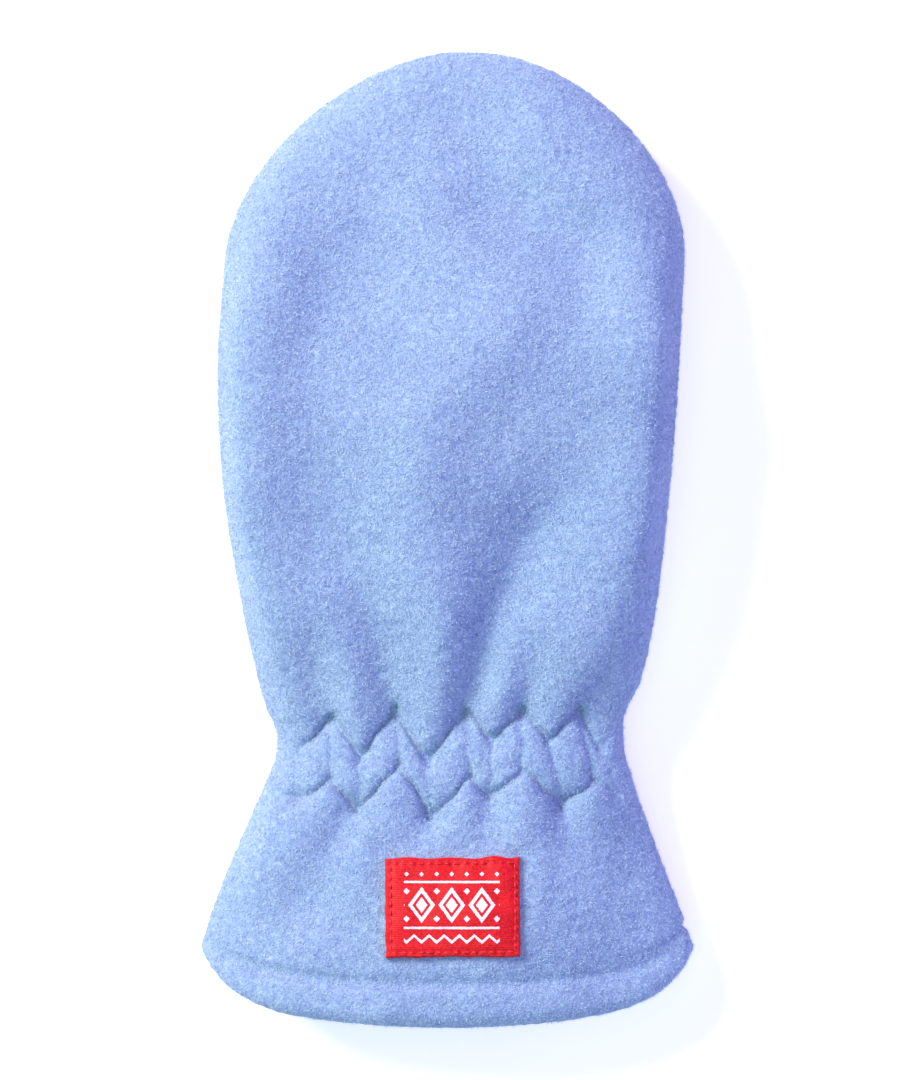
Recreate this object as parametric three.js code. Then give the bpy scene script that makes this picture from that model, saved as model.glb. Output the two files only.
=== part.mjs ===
// A baby's mitten of thick polar fleece, without a thumb, lying on its back panel.
// Millimetres, +Z up, fingertips towards +Y, open cuff towards -Y, resting on z = 0.
// Two panels are sewn together down the sides and round the tip. Elastic sewn on in
// two zigzag rows gathers the wrist, the cuff flares below it to a turned-up hem, and
// a small woven label is sewn on the front of the cuff.
import * as THREE from 'three';
import { mergeVertices } from 'three/addons/utils/BufferGeometryUtils.js';

// Driving sizes of the fleece
const wall = 2.4;              // one layer of fleece with its nap
const hemWall = 4.4;           // two layers, where the hem is turned up
const wristWall = 3.2;         // gathered fleece with the elastic sewn into it
const thinnest = 1.1;          // what is left of the wall under the deepest stitch
const seamGap = 0.3;           // between the two panels at the side seam
const insideFollows = 0.7;     // share of each fold's depth that the inside has

// The rounded tip
const tipStartY = 42.9;        // where the sides begin to close
const tipLength = 32.1;
const tipRoundness = 1.77;     // 2 would be an ellipse, less is more pointed

// The cuff's lower edge, which dips at the middle
const hemSideY = -62.5;        // the hem's height at the side seams
const hemDip = 10.38;          // how much lower it is at the middle
const dipStartY = -38;         // above this the sections are straight
const dipCorner = 0.6;         // share of the dip taken up by the rounded corners
const dipCornerPower = 9;      // higher is a tighter corner
const hemEdgeRadius = 2.2;     // rounding of the fold at the hem
const hemEdgeTurn = 1.3;       // how far round it each face goes, radians

// Section shape
const frontRoundness = 2.4;    // superellipse power of the upper half of a section
const backFlat = 0.7;          // share of the half-width that lies flat on the table
const seamFade = 0.8;          // from this share of the half-width, folds fade to the seam

// Sections across the mitten, from the hem to the tip: the sides as seen from above,
// the height of the front, of the side seam and of the underside
const sections = [
  { y: -62.5, left: -38.2, right: 38.2, top: 17.6, seam: 7.0, under: 0.0 },
  { y: -57.4, left: -36.6, right: 36.3, top: 17.6, seam: 7.0, under: 0.0 },
  { y: -51.2, left: -34.2, right: 33.8, top: 17.4, seam: 7.0, under: 0.0 },
  { y: -45.0, left: -31.5, right: 31.5, top: 17.0, seam: 7.0, under: 0.5 },
  { y: -38.9, left: -28.8, right: 29.2, top: 16.4, seam: 7.0, under: 1.4 },
  { y: -33.5, left: -26.7, right: 27.4, top: 16.0, seam: 7.0, under: 1.8 },
  { y: -29.6, left: -26.6, right: 27.0, top: 16.0, seam: 7.0, under: 1.8 },
  { y: -26.5, left: -28.0, right: 27.4, top: 16.6, seam: 7.1, under: 1.4 },
  { y: -22.0, left: -29.3, right: 29.6, top: 17.8, seam: 7.5, under: 0.6 },
  { y: -11.1, left: -31.7, right: 31.9, top: 20.8, seam: 8.3, under: 0.0 },
  { y: 7.4, left: -34.6, right: 34.0, top: 23.4, seam: 9.2, under: 0.0 },
  { y: 25.9, left: -35.5, right: 35.4, top: 24.0, seam: 9.4, under: 0.0 },
  { y: 42.9, left: -34.4, right: 36.3, top: 22.8, seam: 9.0, under: 0.0 },
  { y: 75.0, left: -32.3, right: 38.3, top: 21.0, seam: 8.4, under: 0.0 },
];

// Folds of the front: each runs from x1, y1 to x2, y2; width1 and width2 are its
// half-widths at the two ends, rise is its height (negative for a trough)
const folds = [
  // hand: troughs
  { x1: 3.6, y1: -3, x2: 1.4, y2: -27, width1: 3.0, width2: 1.5, rise: -2.4 },
  { x1: 11.8, y1: 38, x2: 3.6, y2: -1, width1: 6.0, width2: 4.0, rise: -1.7 },
  { x1: -15.5, y1: -6, x2: -8.2, y2: -27, width1: 3.4, width2: 1.7, rise: -1.7 },
  { x1: -25.2, y1: 46, x2: -23.2, y2: 20, width1: 3.6, width2: 4.0, rise: -1.3 },
  { x1: -23.2, y1: 20, x2: -17.5, y2: -14, width1: 4.0, width2: 3.0, rise: -1.3 },
  { x1: 25.4, y1: -8, x2: 20.4, y2: -26.5, width1: 2.8, width2: 1.8, rise: -1.8 },
  { x1: 10.9, y1: -18, x2: 10.9, y2: -26.5, width1: 1.9, width2: 1.4, rise: -1.6 },
  { x1: -20.5, y1: -20, x2: -18.4, y2: -27.5, width1: 2.6, width2: 1.8, rise: -1.3 },
  { x1: 7.9, y1: 54.4, x2: 8.3, y2: 54.8, width1: 3.0, width2: 3.0, rise: -0.9 },
  // hand: ridges and flutes
  { x1: 8, y1: 44, x2: -16.7, y2: 16, width1: 5.5, width2: 5.5, rise: 1.0 },
  { x1: -9.8, y1: 0, x2: -3.6, y2: -30.5, width1: 4.0, width2: 2.3, rise: 1.9 },
  { x1: 21.5, y1: 0, x2: 15.3, y2: -28.6, width1: 4.0, width2: 2.3, rise: 1.9 },
  { x1: 7.2, y1: -17, x2: 6.8, y2: -28.4, width1: 2.0, width2: 1.9, rise: 1.5 },
  { x1: -13.6, y1: -20, x2: -13.6, y2: -31, width1: 2.2, width2: 1.9, rise: 1.1 },
  { x1: -23.4, y1: -22, x2: -23.6, y2: -31, width1: 2.2, width2: 1.9, rise: 0.9 },
  { x1: 24, y1: 50, x2: 24, y2: 3, width1: 3.5, width2: 4.0, rise: 0.9 },
  // cuff: troughs
  { x1: -14.6, y1: -42, x2: -21.8, y2: -51, width1: 1.8, width2: 2.6, rise: -1.7 },
  { x1: -2.8, y1: -43, x2: -5.6, y2: -50, width1: 1.6, width2: 2.2, rise: -1.4 },
  { x1: 6.4, y1: -40.5, x2: 5.8, y2: -49, width1: 1.5, width2: 2.0, rise: -1.3 },
  { x1: 17.7, y1: -41.5, x2: 18.2, y2: -51, width1: 1.7, width2: 2.4, rise: -1.6 },
  // cuff: flutes
  { x1: -18, y1: -38.5, x2: -25.5, y2: -49, width1: 2.0, width2: 3.0, rise: 0.9 },
  { x1: -8, y1: -37, x2: -14.8, y2: -54, width1: 2.2, width2: 3.4, rise: 1.5 },
  { x1: 3, y1: -38.5, x2: 0.2, y2: -50, width1: 2.0, width2: 2.8, rise: 1.3 },
  { x1: 11.3, y1: -37.5, x2: 12.2, y2: -55, width1: 2.1, width2: 3.0, rise: 1.5 },
  { x1: 22.6, y1: -39, x2: 24, y2: -50, width1: 2.0, width2: 2.8, rise: 1.1 },
];

// The two zigzag stitch rows at the wrist: peaks point to the hand
const zigzagRows = {
  upper: [
    { x: -26.6, y: -30.0 }, { x: -23.7, y: -32.7 }, { x: -18.1, y: -27.9 },
    { x: -13.6, y: -33.0 }, { x: -8.1, y: -27.0 }, { x: -3.2, y: -33.9 },
    { x: 2.5, y: -26.7 }, { x: 6.9, y: -30.8 }, { x: 11.3, y: -26.5 },
    { x: 15.3, y: -31.0 }, { x: 20.1, y: -26.5 }, { x: 23.7, y: -32.2 },
    { x: 27.0, y: -28.1 },
  ],
  lower: [
    { x: -28.8, y: -37.5 }, { x: -23.4, y: -40.4 }, { x: -18.0, y: -37.0 },
    { x: -13.8, y: -41.5 }, { x: -7.7, y: -34.9 }, { x: -2.7, y: -42.7 },
    { x: 3.2, y: -36.7 }, { x: 6.4, y: -39.5 }, { x: 11.3, y: -35.7 },
    { x: 17.7, y: -40.9 }, { x: 22.6, y: -37.3 }, { x: 26.0, y: -39.4 },
    { x: 29.0, y: -38.0 },
  ],
};
const stitchDepth = 1.5;       // how far a stitch row pulls the nap down
const stitchWidth = 1.1;
const puffHeight = 1.0;        // of the fleece between the two rows
const creaseDepth = 1.0;       // between one puff and the next
const creaseWidth = 1.1;
const puffEdge = { from: -0.4, to: 1.4 };     // a puff rises over this distance off a row
const wristRange = { from: -48, to: -20 };    // nothing of the gathers lies outside this
const thickRange = { from: -46, to: -22, ramp: 4 };
const fullLift = 1.8;          // where the underside is this far off the table, gathers are full
const hemStitchSideY = -60.4;  // where the hem's stitching meets the side seam
const hemStitchDepth = 0.9;
const hemStitchWidth = 1.1;

// The woven label
const label = { x: 0.5, y: -56.9, width: 20.2, height: 15.1, thick: 0.8, lift: 0.35, turn: 0.006 };
const labelMargin = 3.5;       // folds start again this far from it
const labelColumns = 14;
const labelRows = 10;

// Mean heights of the two stitch rows, and how far off them the grid still bends
const upperMean = -30;
const lowerMean = -38.7;
const bendReach = 8.5;

// Rows of each panel's grid: each band of sections runs up to y in so many steps.
// One grid row lies on each stitch row.
const frontGrid = {
  columns: 42, edgeRows: 3, tipRows: 11,
  bands: [
    { to: -58, rows: 7 }, { to: -44.5, rows: 8 }, { to: -40.7, rows: 2 }, { to: -36.7, rows: 4 },
    { to: -32, rows: 3 }, { to: -28, rows: 4 }, { to: -22, rows: 4 }, { to: tipStartY, rows: 15 },
  ],
};
const backGrid = {
  columns: 32, edgeRows: 2, tipRows: 9,
  bands: [
    { to: -58, rows: 4 }, { to: -44.5, rows: 4 }, { to: -40.4, rows: 2 }, { to: -37, rows: 2 },
    { to: -31.7, rows: 3 }, { to: -28.3, rows: 2 }, { to: -22, rows: 3 }, { to: tipStartY, rows: 8 },
  ],
};

const { clamp, lerp, smoothstep } = THREE.MathUtils;

// Smooth curve through one column of the sections table
function sectionValue(column, y) {
  const last = sections.length - 1;
  let i = 0;
  while (i < last - 1 && y > sections[i + 1].y) i += 1;
  const value = (k) => sections[clamp(k, 0, last)][column];
  const at = (k) => sections[clamp(k, 0, last)].y;
  const slope = (k) => (value(k + 1) - value(k - 1)) / (at(k + 1) - at(k - 1));
  const span = at(i + 1) - at(i);
  const t = clamp((y - at(i)) / span, 0, 1);
  const t2 = t * t;
  const t3 = t2 * t;
  return value(i) * (2 * t3 - 3 * t2 + 1) + slope(i) * span * (t3 - 2 * t2 + t)
    + value(i + 1) * (3 * t2 - 2 * t3) + slope(i + 1) * span * (t3 - t2);
}

// How far the point across at u (-1 left seam, 1 right seam) dips below its side height
function dipAt(u, sideY) {
  const depth = hemDip * clamp((dipStartY - sideY) / (dipStartY - hemSideY), 0, 1) ** 3;
  return depth * (1 - (1 - dipCorner) * u * u - dipCorner * Math.abs(u) ** dipCornerPower);
}

// A point of a panel without folds; inset is the depth below its outer face
function plainPoint(side, u, sideY, inset) {
  const w = clamp((sideY - tipStartY) / tipLength, 0, 1);
  const left = sectionValue('left', sideY);
  const right = sectionValue('right', sideY);
  const round = (1 - w ** tipRoundness) ** (1 / tipRoundness);
  const halfWidth = ((right - left) / 2 - inset) * round;
  const y = w > 0 ? tipStartY + w * (tipLength - inset) : sideY - dipAt(u, sideY);
  const fromMiddle = Math.sqrt(u * u + w * w * (1 - u * u));
  const seam = sectionValue('seam', sideY);
  let z;
  if (side === 'front') {
    const base = seam + seamGap / 2;
    const rise = sectionValue('top', sideY) - inset - base;
    z = base + rise * (1 - fromMiddle ** frontRoundness) ** (1 / frontRoundness);
  } else {
    const base = seam - seamGap / 2;
    const fall = base - Math.max(0, sectionValue('under', sideY)) - inset;
    const q = clamp((fromMiddle - backFlat) / (1 - backFlat), 0, 1);
    z = base - fall * Math.sqrt(1 - q * q);
  }
  return new THREE.Vector3((left + right) / 2 + halfWidth * u, y, z);
}

// Direction out of the cloth
function outward(side, u, sideY) {
  const across = plainPoint(side, clamp(u + 0.02, -0.97, 0.99), sideY, 0)
    .sub(plainPoint(side, clamp(u - 0.02, -0.99, 0.97), sideY, 0));
  const along = plainPoint(side, u, sideY + 0.3, 0).sub(plainPoint(side, u, sideY - 0.3, 0));
  const normal = across.cross(along).normalize();
  return side === 'front' ? normal : normal.negate();
}

// Distance from x, y to a straight line between two points, and how far along it lies
function toLine(x, y, x1, y1, x2, y2) {
  const dx = x2 - x1;
  const dy = y2 - y1;
  const t = clamp(((x - x1) * dx + (y - y1) * dy) / (dx * dx + dy * dy), 0, 1);
  return { distance: Math.hypot(x - x1 - t * dx, y - y1 - t * dy), t };
}

const bump = (distance, width) => Math.exp(-((distance / width) ** 2));
const foldSpread = 1.35;       // a fold's slopes reach a little past its half-width

// Cloth under the label is held flat by it
function freeOfLabel(x, y) {
  const outX = Math.abs(x - label.x) - label.width / 2;
  const outY = Math.abs(y - label.y) - label.height / 2;
  return smoothstep(Math.max(outX, outY), 0, labelMargin);
}

function foldHeight(x, y) {
  let height = 0;
  for (const fold of folds) {
    const { distance, t } = toLine(x, y, fold.x1, fold.y1, fold.x2, fold.y2);
    height += fold.rise * bump(distance, foldSpread * lerp(fold.width1, fold.width2, t));
  }
  return height * freeOfLabel(x, y);
}

const segments = (points) => points.slice(1).map((end, i) => [points[i], end]);
const stitchLines = [...segments(zigzagRows.upper), ...segments(zigzagRows.lower)];
const creaseLines = zigzagRows.upper.slice(1, -1).map((top, i) => [top, zigzagRows.lower[i + 1]]);

function heightOfRow(points, x) {
  const k = clamp(points.findIndex((p) => p.x > x), 1, points.length - 1);
  const start = points[k - 1];
  const t = clamp((x - start.x) / (points[k].x - start.x), 0, 1);
  return lerp(start.y, points[k].y, t);
}

function nearest(lines, x, y) {
  return Math.min(...lines.map(([a, b]) => toLine(x, y, a.x, a.y, b.x, b.y).distance));
}

// Relief of the gathered wrist: stitch rows, and puffs between them
function wristRelief(x, y) {
  if (y > wristRange.to || y < wristRange.from) return 0;
  const above = heightOfRow(zigzagRows.upper, x) - y;
  const below = y - heightOfRow(zigzagRows.lower, x);
  const between = smoothstep(above, puffEdge.from, puffEdge.to)
    * smoothstep(below, puffEdge.from, puffEdge.to);
  const crease = creaseDepth * bump(nearest(creaseLines, x, y), creaseWidth);
  const stitch = stitchDepth * bump(nearest(stitchLines, x, y), stitchWidth);
  return between * (puffHeight - crease) - stitch;
}

// Groove along the hem's stitching, a row of the grid like the hem itself
function hemRelief(side, u, sideY) {
  const y = plainPoint(side, u, sideY, 0).y;
  const stitchY = plainPoint(side, u, hemStitchSideY, 0).y;
  return -hemStitchDepth * bump(y - stitchY, hemStitchWidth);
}

// How far the outer and the inner face are moved out of the plain form
function movedOut(side, u, sideY) {
  const plain = plainPoint(side, u, sideY, 0);
  const offSeam = 1 - smoothstep(Math.abs(u), seamFade, 1);
  if (side === 'front') {
    const large = foldHeight(plain.x, plain.y) * offSeam;
    const small = (wristRelief(plain.x, plain.y) + hemRelief(side, u, sideY)) * offSeam;
    return { outer: large + small, inner: large * insideFollows };
  }
  const offTable = clamp(sectionValue('under', sideY) / fullLift, 0, 1);
  return { outer: wristRelief(-plain.x, plain.y) * offSeam * offTable, inner: 0 };
}

// Heights of a panel's grid rows at the side seam, from the hem to the tip
function rowHeights(grid) {
  const heights = [hemSideY];
  let from = hemSideY;
  for (const band of grid.bands) {
    for (let k = 1; k <= band.rows; k += 1) heights.push(lerp(from, band.to, k / band.rows));
    from = band.to;
  }
  for (let k = 1; k <= grid.tipRows; k += 1) {
    heights.push(tipStartY + tipLength * Math.sin((k / grid.tipRows) * Math.PI / 2));
  }
  return heights;
}

// Grid rows near the wrist bend to follow the zigzag stitches
function alongStitches(side, u, sideY) {
  const mirror = side === 'front' ? 1 : -1;
  const offSeam = 1 - smoothstep(Math.abs(u), 0.9, 1);
  let bent = sideY;
  for (let pass = 0; pass < 6; pass += 1) {
    const x = mirror * plainPoint(side, u, bent, 0).x;
    const upper = heightOfRow(zigzagRows.upper, x) - upperMean;
    const lower = heightOfRow(zigzagRows.lower, x) - lowerMean;
    let shift = lerp(lower, upper, (sideY - lowerMean) / (upperMean - lowerMean));
    if (sideY > upperMean) shift = upper * (1 - smoothstep(sideY, upperMean, upperMean + bendReach));
    if (sideY < lowerMean) shift = lower * smoothstep(sideY, lowerMean - bendReach, lowerMean);
    bent = sideY + shift * offSeam;
  }
  return bent;
}

// Columns lie closer together at the seams, where the section turns
function acrossAt(j, columns) {
  const t = (2 * j) / columns - 1;
  return lerp(t, Math.sin(t * Math.PI / 2), 0.65);
}

// Outer and inner point of a panel at one place of its grid
function layerPoints(side, u, sideY) {
  const hem = 1 - smoothstep(sideY, hemStitchSideY - 0.3, hemStitchSideY + 0.9);
  const wrist = smoothstep(sideY, thickRange.from, thickRange.from + thickRange.ramp)
    * (1 - smoothstep(sideY, thickRange.to - thickRange.ramp, thickRange.to));
  const thickness = lerp(wall, hemWall, hem) + (wristWall - wall) * wrist;
  const moved = movedOut(side, u, sideY);
  const normal = outward(side, u, sideY);
  const outerMove = Math.max(moved.outer, moved.inner - thickness + thinnest);
  return {
    outer: plainPoint(side, u, sideY, 0).addScaledVector(normal, outerMove),
    inner: plainPoint(side, u, sideY, thickness).addScaledVector(normal, moved.inner),
  };
}

// Rounded fold at the hem: step 1 is the lowest line, step 0 the first full section
function hemEdgePoints(side, u, step) {
  const turn = step * hemEdgeTurn;
  const inset = hemEdgeRadius * (1 - Math.cos(turn));
  const drop = new THREE.Vector3(0, -hemEdgeRadius * Math.sin(turn), 0);
  return {
    outer: plainPoint(side, u, hemSideY, inset).add(drop),
    inner: plainPoint(side, u, hemSideY, hemWall - inset).add(drop),
  };
}

function panelGrids(side, grid) {
  const rows = [];
  for (let k = grid.edgeRows; k >= 1; k -= 1) {
    rows.push((u) => hemEdgePoints(side, u, k / grid.edgeRows));
  }
  for (const sideY of rowHeights(grid)) {
    rows.push((u) => layerPoints(side, u, alongStitches(side, u, sideY)));
  }
  const across = Array.from({ length: grid.columns + 1 }, (_, j) => acrossAt(j, grid.columns));
  const points = rows.map((row) => across.map(row));
  return {
    outer: points.map((row) => row.map((p) => p.outer)),
    inner: points.map((row) => row.map((p) => p.inner)),
  };
}

// Two grids of points become one closed wall with rims along its four edges
function closedWall({ outer, inner }, facesDown) {
  const positions = [];
  const near = (a, b) => a.distanceToSquared(b) < 1e-8;
  const triangle = (a, b, c) => {
    if (near(a, b) || near(b, c) || near(c, a)) return;
    const corners = facesDown ? [a, c, b] : [a, b, c];
    for (const p of corners) positions.push(p.x, p.y, p.z);
  };
  const quad = (a, b, c, d) => {
    triangle(a, b, c);
    triangle(a, c, d);
  };
  const rows = outer.length - 1;
  const columns = outer[0].length - 1;
  for (let i = 0; i < rows; i += 1) {
    for (let j = 0; j < columns; j += 1) {
      quad(outer[i][j], outer[i][j + 1], outer[i + 1][j + 1], outer[i + 1][j]);
      quad(inner[i][j], inner[i + 1][j], inner[i + 1][j + 1], inner[i][j + 1]);
    }
    quad(outer[i][0], outer[i + 1][0], inner[i + 1][0], inner[i][0]);
    quad(outer[i + 1][columns], outer[i][columns], inner[i][columns], inner[i + 1][columns]);
  }
  for (let j = 0; j < columns; j += 1) {
    quad(outer[0][j + 1], outer[0][j], inner[0][j], inner[0][j + 1]);
    quad(outer[rows][j], outer[rows][j + 1], inner[rows][j + 1], inner[rows][j]);
  }
  const geometry = new THREE.BufferGeometry();
  geometry.setAttribute('position', new THREE.Float32BufferAttribute(positions, 3));
  const merged = mergeVertices(geometry, 1e-4);
  merged.computeVertexNormals();
  return merged;
}

// The front panel's grid coordinates at a place seen from above
function placeOnFront(x, y) {
  let sideY = y;
  let u = 0;
  for (let pass = 0; pass < 60; pass += 1) {
    const left = sectionValue('left', sideY);
    const right = sectionValue('right', sideY);
    u = (2 * x - left - right) / (right - left);
    sideY = y + dipAt(u, sideY);
  }
  return { u, sideY };
}

// The label is made of the front panel's own points, moved out
function labelGrids() {
  const outer = [];
  const inner = [];
  for (let i = 0; i <= labelRows; i += 1) {
    const outerRow = [];
    const innerRow = [];
    for (let j = 0; j <= labelColumns; j += 1) {
      const dx = label.width * (j / labelColumns - 0.5);
      const dy = label.height * (i / labelRows - 0.5);
      const { u, sideY } = placeOnFront(label.x + dx - dy * label.turn, label.y + dy + dx * label.turn);
      const out = movedOut('front', u, sideY).outer + label.lift;
      const normal = outward('front', u, sideY);
      innerRow.push(plainPoint('front', u, sideY, 0).addScaledVector(normal, out));
      outerRow.push(plainPoint('front', u, sideY, 0).addScaledVector(normal, out + label.thick));
    }
    outer.push(outerRow);
    inner.push(innerRow);
  }
  return { outer, inner };
}

const fleece = new THREE.MeshStandardMaterial({ color: '#9db6ee', roughness: 0.95, metalness: 0 });
const wovenRed = new THREE.MeshStandardMaterial({ color: '#e8262c', roughness: 0.7, metalness: 0 });

function part(name, geometry, material) {
  const mesh = new THREE.Mesh(geometry, material);
  mesh.name = name;
  return mesh;
}

const mitten = new THREE.Group();
mitten.name = 'baby_mitten';
mitten.add(
  part('front_panel', closedWall(panelGrids('front', frontGrid), false), fleece),
  part('back_panel', closedWall(panelGrids('back', backGrid), true), fleece),
  part('label', closedWall(labelGrids(), false), wovenRed),
);

export default mitten;
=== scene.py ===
# %% [markdown]
# # A baby's fleece mitten
#
# One thumbless mitten of thick polar fleece lies on its back panel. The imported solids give
# its form and sizes. This file gives it the look of the real cloth: the soft folds that run
# into the gathered wrist, the puffs between two zigzag stitch rows, the short curly nap and
# a small woven label. Sizes are in millimetres until a mesh is made.

import bpy
import numpy as np
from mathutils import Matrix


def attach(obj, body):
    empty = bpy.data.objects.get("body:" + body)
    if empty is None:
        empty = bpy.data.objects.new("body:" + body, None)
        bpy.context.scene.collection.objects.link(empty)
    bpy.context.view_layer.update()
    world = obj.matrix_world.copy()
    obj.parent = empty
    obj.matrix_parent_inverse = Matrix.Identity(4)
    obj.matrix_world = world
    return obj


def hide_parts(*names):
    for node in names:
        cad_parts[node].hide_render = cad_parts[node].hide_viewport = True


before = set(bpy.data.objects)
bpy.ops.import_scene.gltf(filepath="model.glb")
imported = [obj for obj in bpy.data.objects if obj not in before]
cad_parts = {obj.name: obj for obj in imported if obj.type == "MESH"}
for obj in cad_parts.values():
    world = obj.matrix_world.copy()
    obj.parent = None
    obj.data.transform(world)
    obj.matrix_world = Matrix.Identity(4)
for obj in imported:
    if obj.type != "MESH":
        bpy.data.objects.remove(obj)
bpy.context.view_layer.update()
MM = 0.001

# %% [markdown]
# ## The plain form
#
# On the real mitten two panels of one cut are sewn together down both sides and round the
# tip. Such a form could be sculpted, or blown up by a cloth simulation, but then its outline
# would be hard to steer. Here it is a stack of sections across the mitten: one short table
# gives the sides, the height of the front, of the seam and of the underside, and one smooth
# curve runs through each column. The tip is the same tube closed by a rounded formula.

# %% Sizes of the cloth and the tip
WALL = 2.4                    # one layer of fleece with its nap
HEM_WALL = 4.4                # two layers at the turned-up hem
WRIST_WALL = 3.2              # gathered fleece with the elastic inside
SEAM_GAP = 0.1                # the seam is pulled tight
INSIDE_FOLLOWS = 0.7          # share of a fold's depth that the inside has
TIP_START_Y = 42.9
TIP_LENGTH = 32.1
TIP_ROUNDNESS = 1.77          # 2 would be an ellipse
FRONT_ROUNDNESS = 3.4         # superellipse power of a section's upper half
CUFF_ROUNDNESS_LEFT = 2.8
CUFF_ROUNDNESS_RIGHT = 1.6    # the right side of the cuff falls away sooner
BACK_FLAT = 0.7               # share of the half-width that lies flat on the table
FACING = {"front": 1, "back": -1}       # up or down, which also mirrors the back's stitches

# %% Sections from the hem to the tip
SECTION_COLUMNS = ("y", "left", "right", "top", "seam", "under")
SECTIONS = np.array([
    (-62.5, -38.2, 38.2, 17.6, 7.0, 0.0),
    (-57.4, -36.6, 36.3, 17.6, 7.0, 0.0),
    (-51.2, -34.2, 33.8, 17.4, 7.0, 0.0),
    (-45.0, -31.5, 31.5, 17.0, 7.0, 0.5),
    (-38.9, -28.8, 29.2, 16.4, 7.0, 1.4),
    (-33.5, -26.7, 27.4, 16.0, 7.0, 1.8),
    (-29.6, -26.6, 27.0, 16.0, 7.0, 1.8),
    (-26.5, -28.0, 27.4, 16.6, 7.1, 1.4),
    (-22.0, -29.3, 29.6, 17.8, 7.5, 0.6),
    (-11.1, -31.7, 31.9, 20.8, 8.3, 0.0),
    (7.4, -34.6, 34.0, 23.4, 9.2, 0.0),
    (25.9, -35.5, 35.4, 24.0, 9.4, 0.0),
    (42.9, -34.4, 36.3, 22.4, 9.0, 0.0),
    (75.0, -32.3, 38.3, 19.0, 8.4, 0.0),
])


def section_value(column, y):
    """Smooth curve through one column of the sections."""
    heights = SECTIONS[:, 0]
    values = SECTIONS[:, SECTION_COLUMNS.index(column)]
    count = len(heights)
    before = np.maximum(np.arange(count) - 1, 0)
    after = np.minimum(np.arange(count) + 1, count - 1)
    slopes = (values[after] - values[before]) / (heights[after] - heights[before])
    i = np.clip(np.searchsorted(heights, y) - 1, 0, count - 2)
    span = heights[i + 1] - heights[i]
    t = np.clip((y - heights[i]) / span, 0.0, 1.0)
    start = values[i] * (2 * t**3 - 3 * t**2 + 1) + slopes[i] * span * (t**3 - 2 * t**2 + t)
    end = values[i + 1] * (3 * t**2 - 2 * t**3) + slopes[i + 1] * span * (t**3 - t**2)
    return start + end


print("wrist width, mm", float(section_value("right", -30.0) - section_value("left", -30.0)))

# %% Soft steps and bumps
def smoothstep(x, low, high):
    """0 below low, 1 above high, and an easy slope between."""
    t = np.clip((x - low) / (high - low), 0.0, 1.0)
    return t * t * (3 - 2 * t)


def bump(distance, width):
    """A bell curve, 1 high."""
    return np.exp(-((distance / width) ** 2))


def off_seam(u, start, end=1.0):
    """1 over the middle of a panel and 0 at its seams, where u is -1 or 1."""
    return 1 - smoothstep(np.abs(u), start, end)


# %% [markdown]
# ## The dip of the cuff
#
# The flared cuff is cut as part of a ring, so its hem hangs lower at the middle than at the
# side seams. Every grid row of the cuff dips in the same way, less and less up to the wrist,
# so that the hem's stitching and the hem's edge are simply rows of the grid.

# %% Dip of a row
HEM_SIDE_Y = -62.5            # height of the last full section at the side seams
HEM_DIP = 10.38
DIP_START_Y = -38.0
DIP_CORNER = 0.6              # share of the dip taken up by the rounded corners
DIP_CORNER_POWER = 9


def dip_at(u, side_y):
    """How far a point at u, from -1 at the left seam to 1, dips below its side height."""
    depth = HEM_DIP * np.clip((DIP_START_Y - side_y) / (DIP_START_Y - HEM_SIDE_Y), 0, 1) ** 3
    return depth * (1 - (1 - DIP_CORNER) * u**2 - DIP_CORNER * np.abs(u) ** DIP_CORNER_POWER)


print("dip half-way to the seam, mm", round(float(dip_at(0.5, HEM_SIDE_Y)), 1))

# %% Points of the plain form
CUFF_BLEND = (26, 48)         # the cuff's roundness takes over this far below the middle
NICK_DEPTH = 0.6              # the hem's stitching nips the right seam
NICK_Y = -59.5
NICK_WIDTH = 0.45


def front_roundness(u, side_y):
    cuff = np.where(u > 0, CUFF_ROUNDNESS_RIGHT, CUFF_ROUNDNESS_LEFT)
    return FRONT_ROUNDNESS + (cuff - FRONT_ROUNDNESS) * smoothstep(-side_y, *CUFF_BLEND)


def plain_points(side, u, side_y, inset):
    """Points of a panel without folds, inset below its outer face."""
    w = np.clip((side_y - TIP_START_Y) / TIP_LENGTH, 0.0, 1.0)
    left = section_value("left", side_y)
    right = section_value("right", side_y) - NICK_DEPTH * bump(side_y - NICK_Y, NICK_WIDTH)
    roundness = (1 - w**TIP_ROUNDNESS) ** (1 / TIP_ROUNDNESS)
    x = (left + right) / 2 + ((right - left) / 2 - inset) * roundness * u
    y = np.where(w > 0, TIP_START_Y + w * (TIP_LENGTH - inset), side_y - dip_at(u, side_y))
    from_middle = np.clip(np.sqrt(u**2 + w**2 * (1 - u**2)), 0.0, 1.0)
    seam = section_value("seam", side_y)
    if side == "front":
        base = seam + SEAM_GAP / 2
        rise = section_value("top", side_y) - inset - base
        power = front_roundness(u, side_y)
        z = base + rise * (1 - from_middle**power) ** (1 / power)
    else:
        base = seam - SEAM_GAP / 2
        fall = base - np.maximum(section_value("under", side_y), 0.0) - inset
        q = np.clip((from_middle - BACK_FLAT) / (1 - BACK_FLAT), 0.0, 1.0)
        z = base - fall * np.sqrt(1 - q**2)
    return np.stack(np.broadcast_arrays(x, y, z), axis=-1)


crown = plain_points("front", np.array([0.0]), np.array([SECTIONS[-4, 0]]), 0.0)
print("crown of the hand, mm", crown.round(1).tolist())
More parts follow.
